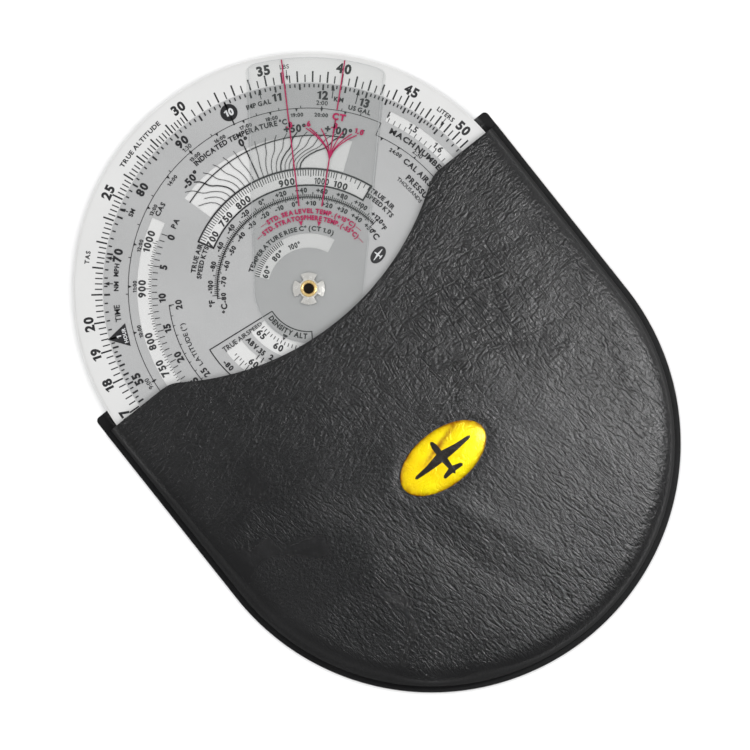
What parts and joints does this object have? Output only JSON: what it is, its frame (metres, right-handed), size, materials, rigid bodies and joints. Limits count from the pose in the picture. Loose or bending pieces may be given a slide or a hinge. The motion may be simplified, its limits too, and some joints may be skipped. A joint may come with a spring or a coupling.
{
  "type": "circular flight computer",
  "caption": "Circular flight computer: a stack of turning slide rule discs and a clear cursor on one eyelet, partly drawn out of a soft round-ended sleeve.",
  "frame": {"origin": "on the sleeve's flat back face, at the centre of its round end", "axes": "+Z out of the sleeve's front, +Y along the sleeve towards its mouth"},
  "size_m": [0.1612, 0.2207, 0.0083],
  "materials": {
    "sleeve_vinyl": "grained soft vinyl, satin",
    "sleeve_board": "plain",
    "sleeve_lining": "fine woven lining",
    "sleeve_foam": "thin soft foam",
    "badge_foil": "glossy creased foil",
    "badge_print": "glossy dark print",
    "base_plastic": "satin sheet plastic with printed scales",
    "calculator_plastic": "satin sheet plastic with printed scales",
    "wind_plastic": "satin sheet plastic with printed scales",
    "index_plastic": "satin sheet plastic with a printed rose",
    "clear_film": "clear glossy film",
    "cursor_plastic": "clear glossy sheet",
    "eyelet_brass": "polished",
    "washer_nickel": "bright nickel plate"
  },
  "bodies": {
    "sleeve": {"sleeve_back_panel": "sleeve_vinyl", "sleeve_back_board": "sleeve_board", "sleeve_back_lining": "sleeve_lining", "sleeve_front_lining": "sleeve_lining", "sleeve_front_padding": "sleeve_foam", "sleeve_front_panel": "sleeve_vinyl", "badge": "badge_foil", "badge_emblem": "badge_print"},
    "computer_base": {"base_disc_back": "base_plastic", "base_disc_front": "base_plastic", "eyelet": "eyelet_brass", "spring_washer_front": "washer_nickel", "spring_washer_back": "washer_nickel"},
    "calculator_disc": {"calculator_disc": "calculator_plastic", "calculator_cover": "clear_film"},
    "cursor": {"cursor": "cursor_plastic"},
    "wind_disc": {"wind_disc": "wind_plastic", "wind_disc_cover": "clear_film"},
    "wind_index": {"wind_index_disc": "index_plastic"}
  },
  "joints": [
    {"name": "computer_slide", "type": "slide", "parent": "sleeve", "child": "computer_base", "axis": [0, 1, 0], "range_m": [-0.0639, 0.09]},
    {"name": "calculator_disc_spin", "type": "hinge", "parent": "computer_base", "child": "calculator_disc", "pos_m": [0, 0.0639, 0.0041], "axis": [0, 0, 1], "continuous": true},
    {"name": "cursor_spin", "type": "hinge", "parent": "computer_base", "child": "cursor", "pos_m": [0, 0.0639, 0.00455], "axis": [0, 0, 1], "continuous": true},
    {"name": "wind_disc_spin", "type": "hinge", "parent": "computer_base", "child": "wind_disc", "pos_m": [0, 0.0639, 0.0024], "axis": [0, 0, 1], "continuous": true},
    {"name": "wind_index_spin", "type": "hinge", "parent": "computer_base", "child": "wind_index", "pos_m": [0, 0.0639, 0.002], "axis": [0, 0, 1], "continuous": true}
  ]
}
